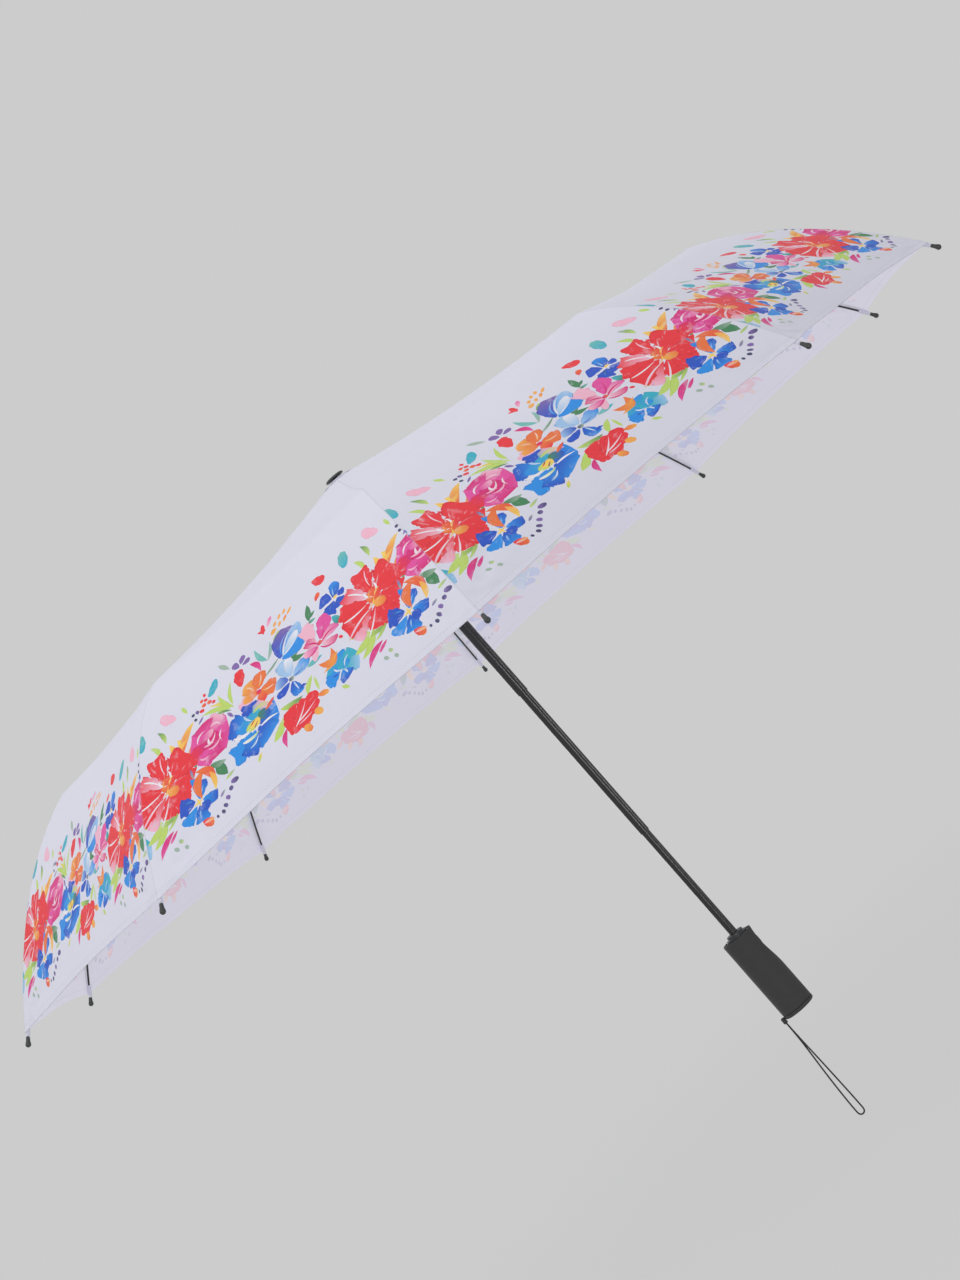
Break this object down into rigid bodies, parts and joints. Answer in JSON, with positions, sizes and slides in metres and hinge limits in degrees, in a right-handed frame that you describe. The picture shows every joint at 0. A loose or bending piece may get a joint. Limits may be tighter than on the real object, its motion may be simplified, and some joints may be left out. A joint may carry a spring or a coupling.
{
  "type": "folding umbrella",
  "caption": "Threefold push-button umbrella, open: ribbed fabric dome with a floral band, telescoping black shaft and a short soft-touch handle with a wrist loop.",
  "frame": {"origin": "middle of the hand grip on the shaft's axis", "axes": "+Z along the shaft from the handle to the apex, +X along rib 0, +Y towards the push button"},
  "size_m": [1.0044, 0.9556, 0.6998],
  "materials": {
    "black_enamel": "gloss",
    "black_plastic": "satin",
    "soft_grip": "matte",
    "spring_steel": "satin",
    "canopy_fabric": "matte",
    "cord": "matte"
  },
  "bodies": {
    "handle": {"grip": "soft_grip", "handle_core": "black_plastic", "handle_collar": "black_plastic", "end_cap": "soft_grip", "bottom_tube": "black_enamel", "button_spring": "spring_steel", "wrist_loop": "cord"},
    "button": {"push_button": "black_plastic"},
    "middle_shaft": {"middle_tube": "black_enamel"},
    "head": {"top_tube": "black_enamel", "crown": "black_plastic", "top_cap": "black_plastic", "closing_spring": "spring_steel", "canopy": "canopy_fabric"},
    "runner": {"runner": "black_plastic"},
    "inner_rib_0": {"inner_rib_0": "black_enamel"},
    "stretcher_0": {"stretcher_0": "black_enamel"},
    "mid_rib_0": {"mid_rib_0": "black_enamel"},
    "outer_rib_0": {"outer_rib_0": "black_enamel"},
    "inner_rib_1": {"inner_rib_1": "black_enamel"},
    "stretcher_1": {"stretcher_1": "black_enamel"},
    "mid_rib_1": {"mid_rib_1": "black_enamel"},
    "outer_rib_1": {"outer_rib_1": "black_enamel"},
    "inner_rib_2": {"inner_rib_2": "black_enamel"},
    "stretcher_2": {"stretcher_2": "black_enamel"},
    "mid_rib_2": {"mid_rib_2": "black_enamel"},
    "outer_rib_2": {"outer_rib_2": "black_enamel"},
    "inner_rib_3": {"inner_rib_3": "black_enamel"},
    "stretcher_3": {"stretcher_3": "black_enamel"},
    "mid_rib_3": {"mid_rib_3": "black_enamel"},
    "outer_rib_3": {"outer_rib_3": "black_enamel"},
    "inner_rib_4": {"inner_rib_4": "black_enamel"},
    "stretcher_4": {"stretcher_4": "black_enamel"},
    "mid_rib_4": {"mid_rib_4": "black_enamel"},
    "outer_rib_4": {"outer_rib_4": "black_enamel"},
    "inner_rib_5": {"inner_rib_5": "black_enamel"},
    "stretcher_5": {"stretcher_5": "black_enamel"},
    "mid_rib_5": {"mid_rib_5": "black_enamel"},
    "outer_rib_5": {"outer_rib_5": "black_enamel"},
    "inner_rib_6": {"inner_rib_6": "black_enamel"},
    "stretcher_6": {"stretcher_6": "black_enamel"},
    "mid_rib_6": {"mid_rib_6": "black_enamel"},
    "outer_rib_6": {"outer_rib_6": "black_enamel"},
    "inner_rib_7": {"inner_rib_7": "black_enamel"},
    "stretcher_7": {"stretcher_7": "black_enamel"},
    "mid_rib_7": {"mid_rib_7": "black_enamel"},
    "outer_rib_7": {"outer_rib_7": "black_enamel"},
    "inner_rib_8": {"inner_rib_8": "black_enamel"},
    "stretcher_8": {"stretcher_8": "black_enamel"},
    "mid_rib_8": {"mid_rib_8": "black_enamel"},
    "outer_rib_8": {"outer_rib_8": "black_enamel"},
    "inner_rib_9": {"inner_rib_9": "black_enamel"},
    "stretcher_9": {"stretcher_9": "black_enamel"},
    "mid_rib_9": {"mid_rib_9": "black_enamel"},
    "outer_rib_9": {"outer_rib_9": "black_enamel"}
  },
  "joints": [
    {"name": "middle_slide", "type": "slide", "parent": "handle", "child": "middle_shaft", "axis": [0, 0, 1], "range_m": [-0.111, 0]},
    {"name": "top_slide", "type": "slide", "parent": "middle_shaft", "child": "head", "axis": [0, 0, 1], "range_m": [-0.154, 0]},
    {"name": "runner_slide", "type": "slide", "parent": "head", "child": "runner", "axis": [0, 0, -1], "range_m": [0, 0.12287], "deforming": ["canopy"]},
    {"name": "button_press", "type": "slide", "parent": "handle", "child": "button", "axis": [0, -1, 0], "range_m": [0, 0.0025], "stiffness_N_per_m": 400, "springref_m": -0.002, "deforming": ["button_spring"]},
    {"name": "inner_hinge_0", "type": "hinge", "parent": "head", "child": "inner_rib_0", "pos_m": [0.0095, 0, 0.5445], "axis": [0, 1, 0], "range_deg": [0, 77.6]},
    {"name": "stretcher_hinge_0", "type": "hinge", "parent": "runner", "child": "stretcher_0", "pos_m": [0.009, 0, 0.4724], "axis": [0, 1, 0], "range_deg": [-56, 0]},
    {"name": "mid_hinge_0", "type": "hinge", "parent": "inner_rib_0", "child": "mid_rib_0", "pos_m": [0.17461, 0, 0.51764], "axis": [0, 1, 0], "range_deg": [-174.3, 0]},
    {"name": "outer_hinge_0", "type": "hinge", "parent": "mid_rib_0", "child": "outer_rib_0", "pos_m": [0.35162, 0, 0.48832], "axis": [0, 1, 0], "range_deg": [0, 147.6]},
    {"name": "inner_hinge_1", "type": "hinge", "parent": "head", "child": "inner_rib_1", "pos_m": [0.00769, 0.00558, 0.5445], "axis": [-0.5878, 0.809, 0], "range_deg": [0, 77.6]},
    {"name": "stretcher_hinge_1", "type": "hinge", "parent": "runner", "child": "stretcher_1", "pos_m": [0.00728, 0.00529, 0.4724], "axis": [-0.5878, 0.809, 0], "range_deg": [-56, 0]},
    {"name": "mid_hinge_1", "type": "hinge", "parent": "inner_rib_1", "child": "mid_rib_1", "pos_m": [0.14127, 0.10264, 0.51764], "axis": [-0.5878, 0.809, 0], "range_deg": [-174.3, 0]},
    {"name": "outer_hinge_1", "type": "hinge", "parent": "mid_rib_1", "child": "outer_rib_1", "pos_m": [0.28446, 0.20667, 0.48832], "axis": [-0.5878, 0.809, 0], "range_deg": [0, 147.6]},
    {"name": "inner_hinge_2", "type": "hinge", "parent": "head", "child": "inner_rib_2", "pos_m": [0.00294, 0.00903, 0.5445], "axis": [-0.9511, 0.309, 0], "range_deg": [0, 77.6]},
    {"name": "stretcher_hinge_2", "type": "hinge", "parent": "runner", "child": "stretcher_2", "pos_m": [0.00278, 0.00856, 0.4724], "axis": [-0.9511, 0.309, 0], "range_deg": [-56, 0]},
    {"name": "mid_hinge_2", "type": "hinge", "parent": "inner_rib_2", "child": "mid_rib_2", "pos_m": [0.05396, 0.16607, 0.51764], "axis": [-0.9511, 0.309, 0], "range_deg": [-174.3, 0]},
    {"name": "outer_hinge_2", "type": "hinge", "parent": "mid_rib_2", "child": "outer_rib_2", "pos_m": [0.10866, 0.33441, 0.48832], "axis": [-0.9511, 0.309, 0], "range_deg": [0, 147.6]},
    {"name": "inner_hinge_3", "type": "hinge", "parent": "head", "child": "inner_rib_3", "pos_m": [-0.00294, 0.00903, 0.5445], "axis": [-0.9511, -0.309, 0], "range_deg": [0, 77.6]},
    {"name": "stretcher_hinge_3", "type": "hinge", "parent": "runner", "child": "stretcher_3", "pos_m": [-0.00278, 0.00856, 0.4724], "axis": [-0.9511, -0.309, 0], "range_deg": [-56, 0]},
    {"name": "mid_hinge_3", "type": "hinge", "parent": "inner_rib_3", "child": "mid_rib_3", "pos_m": [-0.05396, 0.16607, 0.51764], "axis": [-0.9511, -0.309, 0], "range_deg": [-174.3, 0]},
    {"name": "outer_hinge_3", "type": "hinge", "parent": "mid_rib_3", "child": "outer_rib_3", "pos_m": [-0.10866, 0.33441, 0.48832], "axis": [-0.9511, -0.309, 0], "range_deg": [0, 147.6]},
    {"name": "inner_hinge_4", "type": "hinge", "parent": "head", "child": "inner_rib_4", "pos_m": [-0.00769, 0.00558, 0.5445], "axis": [-0.5878, -0.809, 0], "range_deg": [0, 77.6]},
    {"name": "stretcher_hinge_4", "type": "hinge", "parent": "runner", "child": "stretcher_4", "pos_m": [-0.00728, 0.00529, 0.4724], "axis": [-0.5878, -0.809, 0], "range_deg": [-56, 0]},
    {"name": "mid_hinge_4", "type": "hinge", "parent": "inner_rib_4", "child": "mid_rib_4", "pos_m": [-0.14127, 0.10264, 0.51764], "axis": [-0.5878, -0.809, 0], "range_deg": [-174.3, 0]},
    {"name": "outer_hinge_4", "type": "hinge", "parent": "mid_rib_4", "child": "outer_rib_4", "pos_m": [-0.28446, 0.20667, 0.48832], "axis": [-0.5878, -0.809, 0], "range_deg": [0, 147.6]},
    {"name": "inner_hinge_5", "type": "hinge", "parent": "head", "child": "inner_rib_5", "pos_m": [-0.0095, 0, 0.5445], "axis": [0, -1, 0], "range_deg": [0, 77.6]},
    {"name": "stretcher_hinge_5", "type": "hinge", "parent": "runner", "child": "stretcher_5", "pos_m": [-0.009, 0, 0.4724], "axis": [0, -1, 0], "range_deg": [-56, 0]},
    {"name": "mid_hinge_5", "type": "hinge", "parent": "inner_rib_5", "child": "mid_rib_5", "pos_m": [-0.17461, 0, 0.51764], "axis": [0, -1, 0], "range_deg": [-174.3, 0]},
    {"name": "outer_hinge_5", "type": "hinge", "parent": "mid_rib_5", "child": "outer_rib_5", "pos_m": [-0.35162, 0, 0.48832], "axis": [0, -1, 0], "range_deg": [0, 147.6]},
    {"name": "inner_hinge_6", "type": "hinge", "parent": "head", "child": "inner_rib_6", "pos_m": [-0.00769, -0.00558, 0.5445], "axis": [0.5878, -0.809, 0], "range_deg": [0, 77.6]},
    {"name": "stretcher_hinge_6", "type": "hinge", "parent": "runner", "child": "stretcher_6", "pos_m": [-0.00728, -0.00529, 0.4724], "axis": [0.5878, -0.809, 0], "range_deg": [-56, 0]},
    {"name": "mid_hinge_6", "type": "hinge", "parent": "inner_rib_6", "child": "mid_rib_6", "pos_m": [-0.14127, -0.10264, 0.51764], "axis": [0.5878, -0.809, 0], "range_deg": [-174.3, 0]},
    {"name": "outer_hinge_6", "type": "hinge", "parent": "mid_rib_6", "child": "outer_rib_6", "pos_m": [-0.28446, -0.20667, 0.48832], "axis": [0.5878, -0.809, 0], "range_deg": [0, 147.6]},
    {"name": "inner_hinge_7", "type": "hinge", "parent": "head", "child": "inner_rib_7", "pos_m": [-0.00294, -0.00903, 0.5445], "axis": [0.9511, -0.309, 0], "range_deg": [0, 77.6]},
    {"name": "stretcher_hinge_7", "type": "hinge", "parent": "runner", "child": "stretcher_7", "pos_m": [-0.00278, -0.00856, 0.4724], "axis": [0.9511, -0.309, 0], "range_deg": [-56, 0]},
    {"name": "mid_hinge_7", "type": "hinge", "parent": "inner_rib_7", "child": "mid_rib_7", "pos_m": [-0.05396, -0.16607, 0.51764], "axis": [0.9511, -0.309, 0], "range_deg": [-174.3, 0]},
    {"name": "outer_hinge_7", "type": "hinge", "parent": "mid_rib_7", "child": "outer_rib_7", "pos_m": [-0.10866, -0.33441, 0.48832], "axis": [0.9511, -0.309, 0], "range_deg": [0, 147.6]},
    {"name": "inner_hinge_8", "type": "hinge", "parent": "head", "child": "inner_rib_8", "pos_m": [0.00294, -0.00903, 0.5445], "axis": [0.9511, 0.309, 0], "range_deg": [0, 77.6]},
    {"name": "stretcher_hinge_8", "type": "hinge", "parent": "runner", "child": "stretcher_8", "pos_m": [0.00278, -0.00856, 0.4724], "axis": [0.9511, 0.309, 0], "range_deg": [-56, 0]},
    {"name": "mid_hinge_8", "type": "hinge", "parent": "inner_rib_8", "child": "mid_rib_8", "pos_m": [0.05396, -0.16607, 0.51764], "axis": [0.9511, 0.309, 0], "range_deg": [-174.3, 0]},
    {"name": "outer_hinge_8", "type": "hinge", "parent": "mid_rib_8", "child": "outer_rib_8", "pos_m": [0.10866, -0.33441, 0.48832], "axis": [0.9511, 0.309, 0], "range_deg": [0, 147.6]},
    {"name": "inner_hinge_9", "type": "hinge", "parent": "head", "child": "inner_rib_9", "pos_m": [0.00769, -0.00558, 0.5445], "axis": [0.5878, 0.809, 0], "range_deg": [0, 77.6]},
    {"name": "stretcher_hinge_9", "type": "hinge", "parent": "runner", "child": "stretcher_9", "pos_m": [0.00728, -0.00529, 0.4724], "axis": [0.5878, 0.809, 0], "range_deg": [-56, 0]},
    {"name": "mid_hinge_9", "type": "hinge", "parent": "inner_rib_9", "child": "mid_rib_9", "pos_m": [0.14127, -0.10264, 0.51764], "axis": [0.5878, 0.809, 0], "range_deg": [-174.3, 0]},
    {"name": "outer_hinge_9", "type": "hinge", "parent": "mid_rib_9", "child": "outer_rib_9", "pos_m": [0.28446, -0.20667, 0.48832], "axis": [0.5878, 0.809, 0], "range_deg": [0, 147.6]}
  ],
  "couplings": [
    {"joint": "inner_hinge_0", "follows": "runner_slide", "rad_per_m": 11.022},
    {"joint": "stretcher_hinge_0", "follows": "runner_slide", "rad_per_m": -7.942},
    {"joint": "mid_hinge_0", "follows": "runner_slide", "rad_per_m": -24.753},
    {"joint": "outer_hinge_0", "follows": "runner_slide", "rad_per_m": 20.954},
    {"joint": "inner_hinge_1", "follows": "runner_slide", "rad_per_m": 11.022},
    {"joint": "stretcher_hinge_1", "follows": "runner_slide", "rad_per_m": -7.942},
    {"joint": "mid_hinge_1", "follows": "runner_slide", "rad_per_m": -24.753},
    {"joint": "outer_hinge_1", "follows": "runner_slide", "rad_per_m": 20.954},
    {"joint": "inner_hinge_2", "follows": "runner_slide", "rad_per_m": 11.022},
    {"joint": "stretcher_hinge_2", "follows": "runner_slide", "rad_per_m": -7.942},
    {"joint": "mid_hinge_2", "follows": "runner_slide", "rad_per_m": -24.753},
    {"joint": "outer_hinge_2", "follows": "runner_slide", "rad_per_m": 20.954},
    {"joint": "inner_hinge_3", "follows": "runner_slide", "rad_per_m": 11.022},
    {"joint": "stretcher_hinge_3", "follows": "runner_slide", "rad_per_m": -7.942},
    {"joint": "mid_hinge_3", "follows": "runner_slide", "rad_per_m": -24.753},
    {"joint": "outer_hinge_3", "follows": "runner_slide", "rad_per_m": 20.954},
    {"joint": "inner_hinge_4", "follows": "runner_slide", "rad_per_m": 11.022},
    {"joint": "stretcher_hinge_4", "follows": "runner_slide", "rad_per_m": -7.942},
    {"joint": "mid_hinge_4", "follows": "runner_slide", "rad_per_m": -24.753},
    {"joint": "outer_hinge_4", "follows": "runner_slide", "rad_per_m": 20.954},
    {"joint": "inner_hinge_5", "follows": "runner_slide", "rad_per_m": 11.022},
    {"joint": "stretcher_hinge_5", "follows": "runner_slide", "rad_per_m": -7.942},
    {"joint": "mid_hinge_5", "follows": "runner_slide", "rad_per_m": -24.753},
    {"joint": "outer_hinge_5", "follows": "runner_slide", "rad_per_m": 20.954},
    {"joint": "inner_hinge_6", "follows": "runner_slide", "rad_per_m": 11.022},
    {"joint": "stretcher_hinge_6", "follows": "runner_slide", "rad_per_m": -7.942},
    {"joint": "mid_hinge_6", "follows": "runner_slide", "rad_per_m": -24.753},
    {"joint": "outer_hinge_6", "follows": "runner_slide", "rad_per_m": 20.954},
    {"joint": "inner_hinge_7", "follows": "runner_slide", "rad_per_m": 11.022},
    {"joint": "stretcher_hinge_7", "follows": "runner_slide", "rad_per_m": -7.942},
    {"joint": "mid_hinge_7", "follows": "runner_slide", "rad_per_m": -24.753},
    {"joint": "outer_hinge_7", "follows": "runner_slide", "rad_per_m": 20.954},
    {"joint": "inner_hinge_8", "follows": "runner_slide", "rad_per_m": 11.022},
    {"joint": "stretcher_hinge_8", "follows": "runner_slide", "rad_per_m": -7.942},
    {"joint": "mid_hinge_8", "follows": "runner_slide", "rad_per_m": -24.753},
    {"joint": "outer_hinge_8", "follows": "runner_slide", "rad_per_m": 20.954},
    {"joint": "inner_hinge_9", "follows": "runner_slide", "rad_per_m": 11.022},
    {"joint": "stretcher_hinge_9", "follows": "runner_slide", "rad_per_m": -7.942},
    {"joint": "mid_hinge_9", "follows": "runner_slide", "rad_per_m": -24.753},
    {"joint": "outer_hinge_9", "follows": "runner_slide", "rad_per_m": 20.954}
  ]
}
